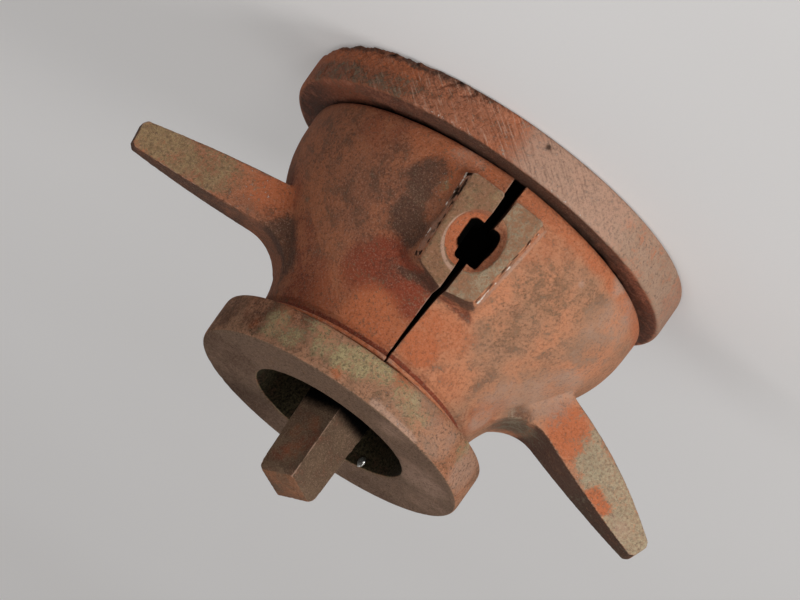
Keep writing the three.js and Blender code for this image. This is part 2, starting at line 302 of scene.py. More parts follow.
def relaxed(points, edges, rounds, free):
    """Points drawn towards their neighbours, each as far as it is free to move."""
    for _ in range(rounds):
        points = points + (neighbour_mean(points, edges) - points) * free[:, None] / 2
    return points


def bend_of(points, normals, edges, cell):
    """How tightly the surface bends, per millimetre: above 0 on outer edges, below 0 in corners."""
    bend = -np.sum((neighbour_mean(points, edges) - points) * normals, axis=1) / cell ** 2 * MM
    for _ in range(2):
        bend = (bend + neighbour_mean(bend, edges)) / 2
    return bend


def filleted(points, normals, edges, cell, node):
    """A half shell's outer corners, at the feet of its handle and gate pad, rounded as cast."""
    own = in_own_frame(points, node)
    clear_of_joint = np.abs(own[:, 0]) > 1.5 * MM
    outside = (in_bore(own) < 0.5) & clear_of_joint & (own[:, 2] > 5 * MM) & (own[:, 2] < 66 * MM)
    free = ease(-bend_of(points, normals, edges, cell), 0.03, 0.12) * outside
    for _ in range(5):
        free = np.maximum(free, 0.96 * neighbour_mean(free, edges))
    return relaxed(points, edges, 40, np.clip(1.4 * free, 0, 1))


def own_frame(node):
    """The place of a half shell's own frame in the mould."""
    if node not in SHELLS:
        return Matrix.Identity(4)
    side, lean, lift = SHELLS[node][:3]
    shift = side * (SHELL_HEIGHT * math.sin(math.radians(lean)) + HALF_GAP)
    place = Matrix.Translation((shift, 0, SHELL_SEAT + lift))
    return place @ Matrix.Rotation(-side * math.radians(lean), 4, "Y")


def moved(points, matrix):
    """Points carried along by a 4 by 4 matrix."""
    array = np.array(matrix)
    return points @ array[:3, :3].T + array[:3, 3]


def in_own_frame(points, node):
    return moved(points, own_frame(node).inverted())


def made_round(points, node):
    """Turned surfaces taken from the solid's flat facets out to their true circles."""
    if node == "core_bar":
        return points
    own = in_own_frame(points, node)
    shift = np.zeros(len(own))
    if node in SHELLS:
        side, outside_shift = SHELLS[node][0], SHELLS[node][3]
        share = np.clip((NECK_HEIGHT - own[:, 2]) / (NECK_HEIGHT - CONE_FOOT), 0, 1)
        shift = side * outside_shift * share * (in_bore(own) < 0.5) * (np.abs(own[:, 0]) > 0.2 * MM)
    own[:, 0] += shift
    off = np.arctan2(own[:, 1], own[:, 0]) % TURN_STEP - TURN_STEP / 2
    growth = np.cos(off) / math.cos(TURN_STEP / 2)
    if node in SHELLS:
        pad = (np.abs(own[:, 0]) < PAD_HALF) & (own[:, 1] < -50 * MM) & (reach(own) > SHOULDER_RADIUS)
        handle = (np.abs(own[:, 1]) < HANDLE_HALF) & (reach(own) > 0.8 * SHOULDER_RADIUS)
        growth[pad | handle] = 1
    own[:, :2] *= growth[:, None]
    own[:, 0] -= shift
    return moved(own, own_frame(node))


def thinned(mesh, most):
    """The mesh with at most that many triangles, fewest where it is flat."""
    count = sum(len(face.vertices) - 2 for face in mesh.polygons)
    if count <= most:
        return mesh
    return modified(mesh, "DECIMATE", ratio=most / count)


def chipped(points, radius, height, depth):
    """A turned edge broken back by a depth that is given for each point."""
    far = reach(points)
    missing = np.clip(depth - np.abs(radius - far) - np.abs(points[:, 2] - height), 0, None) / 2
    inward = 1 - missing / np.maximum(far, 1e-6)
    side = np.where(points[:, 2] > height - 1e-6, 1, -1)
    result = points * np.column_stack((inward, inward, np.ones(len(points))))
    result[:, 2] += side * missing
    return result


def worn_mesh(node, cell, shape, paint):
    """A node's solid as a mesh with a worn cast surface, its paint kept in attributes."""
    mesh = even_mesh(node, cell)
    edges = edges_of(mesh)
    points = points_of(mesh)
    points = relaxed(made_round(points, node), edges, 2, np.ones(len(points)))
    set_points(mesh, points)
    bend = np.abs(bend_of(points, normals_of(mesh), edges, cell))
    points = relaxed(points, edges, 16, ease(bend, 0.2, 0.07))
    set_points(mesh, points)
    if node in SHELLS:
        set_points(mesh, filleted(points, normals_of(mesh), edges, cell, node))
        points = points_of(mesh)
    normals = normals_of(mesh)
    bend = bend_of(points, normals, edges, cell)
    worn = ease(bend, *EDGE_BEND)
    # Painted shade in inward corners, full where they bend tightly
    corner = ease(-bend, *EDGE_BEND)
    uneven = 0.5 + 0.5 * rough_noise(points, 22 * MM, 1)
    pitted = ease(rough_noise(points, 2.4 * MM, 2), 0.35, 0.8)
    nicked = worn * ease(rough_noise(points, 3.1 * MM, 3), 0.1, 0.75)
    depth = 0.14 * MM * uneven + 0.12 * MM * pitted + 0.3 * MM * nicked
    points = shape(points - normals * depth[:, None], normals)
    set_points(mesh, points)
    layers = dict.fromkeys(PAINTS, np.zeros(len(points)))
    layers.update(worn=worn, corner=corner, **paint(points, normals))
    for name, values in layers.items():
        attribute = mesh.attributes.new(name, "FLOAT", "POINT")
        attribute.data.foreach_set("value", np.clip(values, 0, 1).astype(np.float32))
    return mesh


def dressed(node, body, cell, shape, paint, material):
    """The look of a node, riding on its body."""
    mesh = worn_mesh(node, cell, shape, paint)
    mesh = thinned(mesh, MOST_TRIANGLES)
    mesh.name = node + "_surface"
    mesh.polygons.foreach_set("use_smooth", [True] * len(mesh.polygons))
    mesh.materials.clear()
    mesh.materials.append(material)
    piece = linked(node + "_surface", mesh)
    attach(piece, body)
    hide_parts(node)


# Materials

def tint(red, green, blue):
    """A colour written as it looks on screen, 0 to 255, turned into light."""
    def light(value):
        share = value / 255
        return share / 12.92 if share <= 0.04045 else ((share + 0.055) / 1.055) ** 2.4
    return (light(red), light(green), light(blue), 1.0)


class Finish:
    """A material's nodes, made by calls that give back their output."""

    def __init__(self, name):
        self.material = bpy.data.materials.new(name)
        self.material.use_nodes = True
        self.tree = self.material.node_tree
        self.tree.nodes.clear()
        self.place = self.node("ShaderNodeTexCoord").outputs["Object"]

    def node(self, kind, inputs=(), **settings):
        node = self.tree.nodes.new(kind)
        for name, value in settings.items():
            setattr(node, name, value)
        for name, value in dict(inputs).items():
            self.feed(node.inputs[name], value)
        return node

    def feed(self, socket, value):
        if isinstance(value, bpy.types.NodeSocket):
            self.tree.links.new(value, socket)
        else:
            socket.default_value = value

    def math(self, operation, one, two=0.0):
        return self.node("ShaderNodeMath", {0: one, 1: two}, operation=operation).outputs[0]

    def times(self, one, two):
        return self.math("MULTIPLY", one, two)

    def noise(self, size, detail=3.0, roughness=0.55, place=None, distortion=0.0):
        """Noise from 0 to 1 with features of about that size, in millimetres."""
        return self.node("ShaderNodeTexNoise", {
            "Vector": place or self.place, "Scale": 1 / (size * MM), "Detail": detail,
            "Roughness": roughness, "Distortion": distortion,
        }).outputs[0]

    def pores(self, size):
        """Distance to the nearest of some scattered points, in cells of that size."""
        inputs = {"Vector": self.place, "Scale": 1 / (size * MM)}
        return self.node("ShaderNodeTexVoronoi", inputs).outputs["Distance"]

    def between(self, value, low, high):
        """0 where the value is below low, 1 where it is above high; high may be the smaller."""
        inputs = {"Value": value, "From Min": low, "From Max": high}
        return self.node("ShaderNodeMapRange", inputs, interpolation_type="SMOOTHSTEP").outputs["Result"]

    def part(self, value, low, high, amount):
        """0 where the value is below low, that amount where it is above high and smooth between."""
        return self.times(self.between(value, low, high), amount)

    def shifted(self, value, amount):
        """A value from 0 to 1 turned into one that swings round 0 by that amount."""
        return self.times(self.math("SUBTRACT", value, 0.5), amount)

    def mix(self, share, one, two):
        node = self.node("ShaderNodeMix", data_type="RGBA")
        self.feed(node.inputs["Factor"], share)
        for name, value in (("A", one), ("B", two)):
            self.feed([s for s in node.inputs if s.name == name and s.type == "RGBA"][0], value)
        return [s for s in node.outputs if s.type == "RGBA"][0]

    def painted(self, name):
        """The paint of that name which the mesh carries."""
        return self.node("ShaderNodeAttribute", attribute_name=name).outputs["Fac"]

    def turned_place(self, lean, along, across):
        """Places on a turned rim unrolled, leaned and stretched along the lean."""
        parts = self.node("ShaderNodeSeparateXYZ", {0: self.place}).outputs
        arc = self.times(self.math("ARCTAN2", parts["Y"], parts["X"]), DISC_RADIUS)
        flat = self.node("ShaderNodeCombineXYZ", {"X": arc, "Y": parts["Z"]})
        turn = (0, 0, math.radians(lean))
        inputs = {"Vector": flat.outputs[0], "Rotation": turn, "Scale": (along, across, 1)}
        return self.node("ShaderNodeMapping", inputs, vector_type="TEXTURE").outputs[0]

    def crackle(self, size):
        """Distance to the nearest line of a net with meshes of about that size, in meshes."""
        cell = size * MM
        swerve = self.node("ShaderNodeTexNoise", {"Vector": self.place, "Scale": 0.8 / cell})
        bent = self.node("ShaderNodeVectorMath", {
            0: swerve.outputs["Color"], 1: (cell, cell, cell), 2: self.place,
        }, operation="MULTIPLY_ADD")
        inputs = {"Vector": bent.outputs[0], "Scale": 1 / cell}
        return self.node("ShaderNodeTexVoronoi", inputs, feature="DISTANCE_TO_EDGE").outputs["Distance"]

    def bump(self, height, depth, normal=None):
        """Bumps of that depth in millimetres, over those of an earlier call."""
        node = self.node("ShaderNodeBump", {"Height": height, "Distance": depth * MM})
        if normal:
            self.feed(node.inputs["Normal"], normal)
        return node.outputs[0]

    def done(self, colour, metallic, roughness, normal, shine=0.3):
        shader = self.node("ShaderNodeBsdfPrincipled", {
            "Base Color": colour, "Metallic": metallic, "Roughness": roughness, "Normal": normal,
            "Specular IOR Level": shine,
        })
        self.out = self.node("ShaderNodeOutputMaterial", {"Surface": shader.outputs[0]})
        return self.material

    def glow(self, colour, strength):
        """Light added to what the camera and glossy or clear surfaces see of a finished surface."""
        path = self.node("ShaderNodeLightPath")
        seen = self.math("MAXIMUM", path.outputs["Is Camera Ray"], path.outputs["Is Glossy Ray"])
        seen = self.math("MAXIMUM", seen, path.outputs["Is Transmission Ray"])
        light = self.node("ShaderNodeEmission", {"Color": colour, "Strength": self.times(seen, strength)})
        surface = self.out.inputs["Surface"]
        both = self.node("ShaderNodeAddShader", {0: surface.links[0].from_socket, 1: light.outputs[0]})
        self.feed(surface, both.outputs[0])


ORANGE = tint(184, 102, 62)
RUST = tint(130, 55, 30)
SOOT = tint(82, 54, 39)
# Near black, for painted shade in holes, gaps, cracks and hidden insides, and for black scratches and spots
DARK = tint(9, 8, 7)
BARE = tint(137, 100, 73)
PALE = tint(186, 150, 128)
DULL_FACE = tint(122, 98, 80)
CREVICE = tint(44, 26, 19)
# Near white, for bright specks, and for nicked edges, where it is partly painted glints
EDGE = tint(222, 212, 200)


class Patina(Finish):
    """Old cast bronze under a baked clay coat, built up from layer to layer."""

    def __init__(self, name, grain):
        super().__init__(name)
        self.grain = grain
        self.mottle = self.noise(6, 6, 0.66, distortion=0.5)
        self.fine = self.noise(1.05, 5, 0.76)
        self.grit = self.noise(0.55, 3, 0.6)
        self.holes = self.pores(1.9)

    def cover(self, share, paint):
        """Paint laid over the colour so far."""
        self.colour = self.mix(share, self.colour, paint)

    def lay(self, name, paint, softness, amount=1.0, rough=1.5, fleck=1.0):
        """Paint of one kind, broken up by noise; gives back how much of it lies where."""
        broken = self.math("ADD", self.painted(name), self.shifted(self.mottle, rough))
        broken = self.math("ADD", broken, self.shifted(self.fine, fleck))
        share = self.part(broken, 0.5 - softness, 0.5 + softness, amount)
        self.cover(share, paint)
        return share

    def coat(self, coat, dull, smoke):
        self.colour = self.mix(self.between(self.noise(24, 5, 0.6), 0.36, 0.64), coat, dull)
        self.cover(self.part(self.mottle, 0.46, 0.7, 0.62), smoke)

    def stain(self, smoke, verdigris):
        """Stains in the order in which they came; gives back where the metal shows."""
        self.lay("face", DULL_FACE, 0.4, 0.9, 0.9)
        self.lay("rust", RUST, 0.45, 0.95)
        self.lay("orange", ORANGE, 0.45, 0.92)
        self.lay("soot", SOOT, 0.5, 0.92, 1.6)
        bare = self.lay("bare", BARE, 0.3, 0.9, 1.2)
        moss = self.mix(0.5, smoke, verdigris)
        spread = self.mix(self.between(self.noise(1.2, 5, 0.75), 0.4, 0.6), moss, verdigris)
        self.lay("green", spread, 0.3, 0.85, 1.8, 2.6)
        self.lay("pale", PALE, 0.4, 0.85, 1.2, 1.4)
        return bare

    def speckle(self):
        """The coat's grain, its pinholes and its bright specks."""
        self.cover(self.part(self.fine, 0.46, 0.7, 0.5 * self.grain), CREVICE)
        light = self.part(self.grit, 0.5, 0.7, 0.42 * self.grain)
        self.cover(light, self.mix(0.5, PALE, self.colour))
        self.cover(self.part(self.holes, 0.15, 0.07, 0.16), CREVICE)
        self.cover(self.part(self.fine, 0.6, 0.7, self.painted("speck")), EDGE)

    def tool_marks(self, strokes, crust):
        """Slanting strokes of a tool, and a net of cracks in the crust."""
        tooled = self.painted("tooled")
        self.cover(self.times(self.part(strokes, 0.5, 0.68, 0.36), tooled), CREVICE)
        self.cover(self.times(self.part(strokes, 0.46, 0.32, 0.62), tooled), PALE)
        net = self.part(crust, 0.06, 0.01, self.between(self.fine, 0.42, 0.6))
        net = self.times(net, self.between(self.mottle, 0.42, 0.6))
        self.cover(self.times(net, self.painted("crust")), CREVICE)

    def wear(self):
        """Painted shade in corners, rubbed edges, black that is mostly painted shade in holes, gaps and
        insides, and bright nicks that are partly painted glints; gives back the last three.
        """
        # Painted shade in the corners
        self.cover(self.times(self.painted("corner"), 0.75), CREVICE)
        rubbed = self.math("ADD", self.painted("worn"), self.shifted(self.mottle, 1.6))
        rubbed = self.between(rubbed, 0.6, 1.05)
        self.cover(self.times(rubbed, 0.45), PALE)
        # Black: painted shade in holes, gaps, cracks and hidden insides, and some black scratches and spots
        black = self.math("ADD", self.painted("dark_and_shade"), self.shifted(self.fine, 0.3))
        black = self.between(black, 0.1, 0.8)
        self.cover(black, DARK)
        # Bright nicks on edges, partly painted glints
        nick_and_glint = self.math("ADD", self.painted("nick_and_glint"), self.shifted(self.fine, 1.8))
        nick_and_glint = self.between(nick_and_glint, 0.72, 0.84)
        self.cover(nick_and_glint, EDGE)
        return rubbed, black, nick_and_glint

    def relief(self):
        normal = self.bump(self.mottle, 0.5 * self.grain)
        normal = self.bump(self.fine, 0.5 * self.grain, normal)
        normal = self.bump(self.grit, 0.16 * self.grain, normal)
        return self.bump(self.between(self.holes, 0.05, 0.2), 0.12 * self.grain, normal)

    def tooled_relief(self, strokes, crust, normal):
        normal = self.bump(self.times(strokes, self.painted("tooled")), 0.4, normal)
        return self.bump(self.part(crust, 0, 0.12, self.painted("crust")), 0.35, normal)


def patina(name, coat, dull, smoke, verdigris, grain=1.0, tooled=False, shine=0.3):
    """A bronze surface: coat and dull are the main colours of its clay coat."""
    finish = Patina(name, grain)
    finish.coat(coat, dull, smoke)
    bare = finish.stain(smoke, verdigris)
    finish.speckle()
    if tooled:
        strokes = finish.noise(1.0, 3, 0.6, finish.turned_place(-38, 9, 0.8))
        crust = finish.crackle(2.6)
        finish.tool_marks(strokes, crust)
    rubbed, black, nick_and_glint = finish.wear()
    metallic = finish.math("MAXIMUM", finish.times(bare, 0.15), black)
    rough = finish.math("ADD", 0.6, finish.times(finish.fine, 0.3))
    polish = finish.times(finish.math("MAXIMUM", nick_and_glint, rubbed), 0.2)
    rough = finish.math("SUBTRACT", rough, polish)
    normal = finish.relief()
    if tooled:
        normal = finish.tooled_relief(strokes, crust, normal)
    return finish.done(finish.colour, metallic, rough, normal, shine)


# Damage and paint of each piece. Places are in millimetres and azimuths in degrees.

PAINTS = (
    "face", "rust", "orange", "soot", "bare", "green", "pale", "speck", "tooled", "crust", "dark_and_shade", "nick_and_glint",
)

CRACKS = [
    [
        (65.2, -37.1, 13.4), (66.2, -35.2, 10.4), (65.6, -36.4, 8.6), (66.6, -34.6, 6.6),
        (65.3, -36.8, 4.6), (67, -33.8, 2.6),
    ],
    [(73.1, -17, 15.6), (72.6, -18.8, 12.6), (72.9, -17.6, 10)],
    [(48.4, -57.3, 6.2), (46.6, -58.8, 7.6), (44.6, -60.3, 8.6)],
    [(39.9, -63.5, 5.8), (38.6, -64.3, 3.6), (37.2, -65.1, 3), (36.4, -65.6, 1.2)],
    [(32.9, -67.4, 5), (31.6, -68, 3.6), (30.4, -68.6, 3.4), (29.2, -69.1, 1.8)],
]
PITS = [
    (-1, -75, 3.4, 1.9, 1.0), (38, -64.6, 3, 2.2, 0.6), (31, -68.4, 3, 2.6, 0.7), (12.5, -74, 2.4, 1.6, 0.6),
]
PIT_SHADOW = [(-1, -75, 3.4, 1.8, 1)]
RIM_ARCS = {
    "orange": [
        (-60, 56, 0.45), (-86, 24, 0.5), (12, 30, 0.7), (-14, 60, 0.6), (-14, 60, 0.3, 10, 6), (-40, 30, 0.5),
    ],
    "rust": [(-24, 60, 0.55), (10, 40, 0.2)],
    "soot": [(-30, 70, 0.6, 6, 10), (-24, 130, 0.9, 4.4, 1.6)],
    "bare": [(-160, 56, 0.5), (-128, 44, 0.42)],
    "green": [(-32, 64, 0.3, 6, 10), (-138, 60, 0.6)],
    "pale": [(12, 30, 0.3), (-102, 50, 1.0), (-146, 84, 0.62), (-135, 80, 0.4, 1.6, 0.4)],
    # Bright nicks along the front edge, partly painted glints
    "nick_and_glint": [(-104, 36, 0.6, 13.2, 14.9), (-63, 34, 0.6, 13.2, 14.9)],
    "crust": [(-50, 80, 0.35), (-22, 50, 0.4)],
    "tooled": [(-74, 100, 0.75)],
}
RIM_SPECKS = [[(-98, 60, 0.45)], [(-106, 40, 1, 9, 14.4)]]
RIM_SPOTS = {
    "orange": [(-48, -58, 8, 7, 1.0), (-54, -52, 4, 6, 0.9), (-58.5, -47, 9, 7, 1.0), (-40, -63, 5, 5, 0.8)],
    "rust": [(-50, -56, 6, 5, 0.6), (-56, -50, 7, 4, 0.6)],
    "soot": [(-1, -75, 3.4, 3.2, 0.8), (14, -73.7, 8, 6, 0.4), (-22, -71.7, 6, 7, 0.4)],
}
BACK_EDGE_SOOT = [(-24, 130, 0.8, 3.2, 1)]
FACE_SOOT = [(-90, 90, 0.4), (-146, 40, -0.3), (-20, 30, -0.3)]


def base_shape(points, normals):
    """The back edge is broken away on the +X side, with short cracks and pits by it."""
    flat = np.column_stack((points[:, :2], 0.3 * points[:, 2]))
    broken = around(points, -28, 78)
    notched = np.clip(rough_noise(flat, 5 * MM, 11) + 0.25, 0, 1)
    depth = broken * (1.1 + 3.0 * notched + 0.7 * noise(flat, 1.3 * MM, 12))
    depth = depth + around(points, 14, 60) * (2.4 + 1.6 * rough_noise(flat, 4 * MM, 16))
    depth = depth + 0.5 + 1.1 * around(points, -70, 60) * ease(rough_noise(flat, 3 * MM, 13), 0.0, 0.7)
    points = chipped(points, DISC_RADIUS, 0, depth * MM)
    small = 0.3 + 0.9 * ease(rough_noise(flat, 3 * MM, 14), 0.3, 0.8)
    points = chipped(points, DISC_RADIUS, DISC_THICKNESS, small * MM)
    dented = 0.6 * lines(points, CRACK_WIDTH, CRACKS) + 0.5 * spots(points, PITS)
    on_rim = ease(reach(points), 73 * MM, 74.6 * MM)
    rough = 0.5 * around(points, -50, 70) * ease(points[:, 2], 7 * MM, 1 * MM) * on_rim
    rough = rough * ease(rough_noise(points, 2.6 * MM, 15), 0.1, 0.8)
    grained = ease(rough_noise(points, 2.2 * MM, 17), 0.0, 0.8)
    rough = rough + 0.4 * on_rim * around(points, -44, 110) * grained
    return points - normals * ((dented + rough) * MM)[:, None]


def base_paint(points, normals):
    """Soot and rust on the face, a rim that is worn and green on the left and orange on the right, and black
    painted shade on the core, inside, under the shells' foot and in the cracks.
    """
    height = points[:, 2]
    far = reach(points)
    on_rim = ease(far, DISC_RADIUS - 2.2 * MM, DISC_RADIUS - 0.5 * MM)
    on_face = ease(height, DISC_THICKNESS - 1 * MM, DISC_THICKNESS - 0.1 * MM)
    annulus = (1 - on_rim) * on_face
    on_core = ease(height, DISC_THICKNESS + 0.2 * MM, DISC_THICKNESS + 1 * MM)
    inside = ease(height, 1 * MM, 12 * MM) * ease(far, 50 * MM, 42 * MM)
    lifted = 2.2 * around(points, -146, 66)
    # Painted shadow on the disc's face under the shells' foot
    foot_shadow = ease(far, (62.6 + lifted) * MM, (60.4 + lifted) * MM) * on_face
    paint = {name: on_rim * arcs(points, places) for name, places in RIM_ARCS.items()}
    for name, places in RIM_SPOTS.items():
        paint[name] += on_rim * spots(points, places)
    paint["tooled"] += 0.25 * on_rim
    paint["speck"] = on_rim * strongest(*(arcs(points, places) for places in RIM_SPECKS))
    paint["orange"] += 0.4 * annulus * around(points, -20, 40)
    paint["rust"] += 0.66 * annulus
    paint["soot"] = strongest(paint["soot"], annulus * (0.62 + arcs(points, FACE_SOOT)))
    # Black: painted shade on the core, inside, under the shells' foot, in the cracks and a pit; soot dashes
    # on the back edge
    paint["dark_and_shade"] = strongest(
        HIDDEN_SHADE * on_core, HIDDEN_SHADE * inside, 0.8 * foot_shadow,
        on_rim * arcs(points, BACK_EDGE_SOOT) * dashes(points, 3 * MM, 36),
        0.95 * lines(points, CRACK_WIDTH, CRACKS), 0.6 * spots(points, PIT_SHADOW))
    return paint


SCRATCHES = [
    [(-21.0, -54.6, 52.1), (-25, -53.4, 51.5), (-29.4, -51.9, 50.9)],
    [(-22.5, -55, 50.4), (-24.6, -54.4, 50)],
]
# Bright nicks on the handle's and the pad's edges, partly painted glints
HANDLE_NICK_AND_GLINT = [[(-72, -11.6, 70), (-80, -10.6, 72.8), (-92, -8.4, 77.4), (-102, -6.8, 80.4)]]
PAD_NICK_AND_GLINT = [[(-17.4, -67.6, 24.6), (-15, -70.4, 24.4)]]


def right_shape(points, normals):
    """The right half has no damage of its own."""
    return points


def left_shape(points, normals):
    """A short scratch below the gate."""
    return points - normals * (0.3 * MM * lines(points, 0.9, SCRATCHES))[:, None]


def in_bore(own):
    """1 on the bore of a half shell, by its own frame."""
    return ease(reach(own), 57.9 * MM - 0.28 * own[:, 2], 57.2 * MM - 0.3 * own[:, 2])


def unseen_side(own, normals):
    """1 on the bore, the joint faces and their edges and the underside of a half shell, all painted dark as
    shade.
    """
    joint = ease(np.abs(own[:, 0]), 0.35 * MM, 0.05 * MM)
    joint = joint * (1 - 0.34 * ease(np.abs(normals[:, 0]), 0.85, 0.97))
    below = ease(own[:, 2], 2.4 * MM, 1 * MM) * ease(normals[:, 2], -0.75, -0.95)
    return strongest(joint, HIDDEN_SHADE * below, HIDDEN_SHADE * in_bore(own))


def handle_sides(points, normals, own, start):
    """1 on the upper side of a half shell's handle, from that far off the axis, and on its lower side."""
    up = ease(normals[:, 2], 0.45, 0.75) * ease(reach(points), start, start + 6 * MM)
    down = ease(normals[:, 2], -0.45, -0.75) * ease(reach(points), 60 * MM, 66 * MM)
    return strongest(up * ease(own[:, 2], 30 * MM, 36 * MM), down * ease(own[:, 2], 20 * MM, 26 * MM))


def pad_height(own):
    """How far a point lies above the gate pad's face."""
    return -own[:, 1] - (PAD_FACE - PAD_SLANT * (own[:, 2] - PAD_BOTTOM))


def pad_side(own, node):
    """How far a point lies beyond the outer long edge of a gate pad's face."""
    wide, narrow = SHELLS[node][4:]
    return np.abs(own[:, 0]) - wide - (narrow - wide) * (own[:, 2] - PAD_BOTTOM) / PAD_LENGTH


def on_pad(own):
    """1 between the gate pad's two ends."""
    top = PAD_BOTTOM + PAD_LENGTH
    return ease(own[:, 2], PAD_BOTTOM - 0.6 * MM, PAD_BOTTOM) * ease(own[:, 2], top + 0.6 * MM, top)


def pad_face(own, node):
    level = ease(np.abs(pad_height(own)), 1 * MM, 0.4 * MM)
    return level * ease(pad_side(own, node), 0.6 * MM, 0.1 * MM) * on_pad(own)


def pad_flank(own, node, start, end):
    """1 on a strip of the gate pad's sloping side, between two distances from its face's edge."""
    beyond = pad_side(own, node)
    strip = ease(beyond, start - 0.3 * MM, start) * ease(beyond, end + 0.3 * MM, end)
    sloped = ease(np.abs(beyond + PAD_FALL * pad_height(own)), 1.2 * MM, 0.6 * MM)
    return strip * sloped * on_pad(own)


def pad_foot(own):
    """1 on the gate pad's sloping end towards the small end of the mould, fading out below it."""
    past = own[:, 2] - PAD_BOTTOM - PAD_LENGTH + 2.6 * MM
    below = ease(past, -0.2 * MM, 0.6 * MM) * ease(past, 3.6 * MM, 1.8 * MM)
    return below * ease(np.abs(own[:, 0]), 17 * MM, 12 * MM) * (own[:, 1] < 0)


def pouring_hole(own):
    """1 in the hole that the metal ran through, below its funnel, painted black as shade."""
    wide = ease(np.abs(own[:, 0]), 5.2 * MM, 4.5 * MM)
    long = ease(np.abs(own[:, 2] - GATE_HEIGHT), 8.4 * MM, 7.6 * MM)
    return wide * long * ease(pad_height(own), -3.2 * MM, -4.4 * MM) * (own[:, 1] < 0)


def oval(own, across, along):
    """Distance from the middle of the funnel, 1 mm on an oval of those half widths in millimetres."""
    return np.hypot(own[:, 0] / across, (own[:, 2] - GATE_HEIGHT - 1 * MM) / along)


def funnel(own):
    """1 on the funnel's bowl around the hole."""
    height = pad_height(own)
    bowl = ease(height, -0.3 * MM, -0.8 * MM) * ease(height, -7 * MM, -6 * MM)
    return bowl * ease(oval(own, 9.8, 11), 1.02 * MM, 0.96 * MM)


def lip(own):
    """1 along the upper edge of the funnel's bowl."""
    edge = ease(np.abs(oval(own, 9.6, 10.8) - 1 * MM), 0.09 * MM, 0.04 * MM)
    return edge * ease(np.abs(pad_height(own)), 1 * MM, 0.5 * MM)


def neck_band(own, low, high):
    """1 on a band around the neck."""
    blur = 0.3 * MM
    return ease(own[:, 2], low - blur, low + blur) * ease(own[:, 2], high + blur, high - blur)


def foot(own):
    """1 on the lowest band of a half shell's outside, at its rounded foot."""
    return ease(own[:, 2], 9 * MM, 5 * MM)


RIGHT_STAINS = {
    "orange": [
        (16, -60, 20, 22, 0.8), (30, -58, 19, 18, 0.6), (13, -42, 80, 16, 0.95), (4, -44, 79, 9, 0.8),
        (27, -34, 80, 18, 0.42), (61, -9, 55, 10, 0.8), (67, -8, 57, 8, 0.6), (60, -9, 60, 8, 0.7),
        (18, -59, 44, 4, 0.5), (44, -44, 26, 12, 0.35),
    ],
    "rust": [
        (17, -48, 63, 17, 1.2), (4, -50, 62, 17, 1.6), (24, -44, 68, 15, 0.8), (34, -24, 80, 18, 0.6),
        (60, -9, 53, 14, 0.55), (46, -46, 22, 18, 0.4), (8, -44, 84, 9, 0.5), (30, -32, 84, 12, 0.5),
        (44, -18, 66, 16, 0.5),
    ],
    "soot": [
        (17, -48, 64, 8, 0.4), (15, -54, 52, 7, 0.6), (26, -59, 34, 11, 0.98), (23, -55, 47, 11, 1.0),
        (19, -57, 50, 9, 1.0), (35, -52, 40, 13, 0.5), (25, -61, 30, 8, 0.9), (40, -42, 52, 15, 0.36),
        (58, -28, 34, 20, 0.36), (51, -11, 67, 12, 1.0), (47, -12, 73, 10, 1.0), (33, -44, 56, 10, 0.3),
        (38, -50, 30, 9, 0.4), (58, -9, 64, 8, 0.5),
    ],
    "bare": [(80, -7, 60, 14, 0.62), (92, -6, 62, 16, 0.72), (104, -4, 64, 12, 0.72)],
    "green": [
        (19.5, -63, 33.4, 3.5, 0.5), (84, -7, 60, 13, 0.6), (96, -5, 63, 13, 0.7), (105, -4, 64, 12, 0.9),
    ],
    "pale": [(18, -64, 19, 10, 0.4)],
    "speck": [(68, -8, 60, 9, 0.9), (70, -8, 55, 8, 0.7), (20, -62.6, 33, 5, 0.7)],
}
HANDLE_CLEAN = [(67, -7, 67, 12, 0.5)]


def right_paint(points, normals):
    """An orange and rusty neck, soot by the gate pad and a brown handle with green near its end; painted
    shade on the bore, joint faces, pouring hole, groove, the pad's sloping side and its end.
    """
    soft = swerved(points)
    own = in_own_frame(points, "shell_right")
    end = ease(normals[:, 0], 0.5, 0.8) * ease(points[:, 0], 100 * MM, 106 * MM)
    sides = strongest(handle_sides(points, normals, own, 60 * MM), end)
    front = pad_face(own, "shell_right")
    flank = pad_flank(own, "shell_right", 0.2 * MM, 1.7 * MM)
    flank_end = pad_flank(own, "shell_right", 1.4 * MM, 1.7 * MM)
    plain = (1 - sides) * (1 - front)
    groove = neck_band(own, *GROOVE)
    # Painted shade on the gate pad's sloping end
    pad_end_shade = pad_foot(own)
    paint = stained(soft, plain, RIGHT_STAINS)
    paint["orange"] *= (1 - pad_end_shade) * (1 - groove)
    paint["orange"] += 0.85 * funnel(own) + 0.6 * neck_band(own, *BEAD)
    paint["rust"] = strongest(paint["rust"], 1.2 * plain * groove)
    sooted = 0.95 * sides * (1 - spots(soft, HANDLE_CLEAN))
    paint["soot"] = strongest(sooted, paint["soot"]) + 0.85 * pad_end_shade
    paint["bare"] = strongest(0.95 * front, paint["bare"])
    paint["green"] = strongest(0.3 * front, paint["green"])
    paint["pale"] = strongest(0.9 * lip(own), 0.5 * flank, paint["pale"])
    # Bright nicks along the funnel's lip and the pad's sloping side, partly painted glints
    paint["nick_and_glint"] = strongest(0.45 * lip(own), 1.2 * flank_end * dashes(points, 1.6 * MM, 31))
    # Black: painted shade on the bore, joint faces, pouring hole, groove and along the pad's sloping side
    paint["dark_and_shade"] = strongest(
        unseen_side(own, normals), pouring_hole(own), 0.3 * groove,
        0.75 * flank * dashes(points, 1.4 * MM, 33))
    return paint


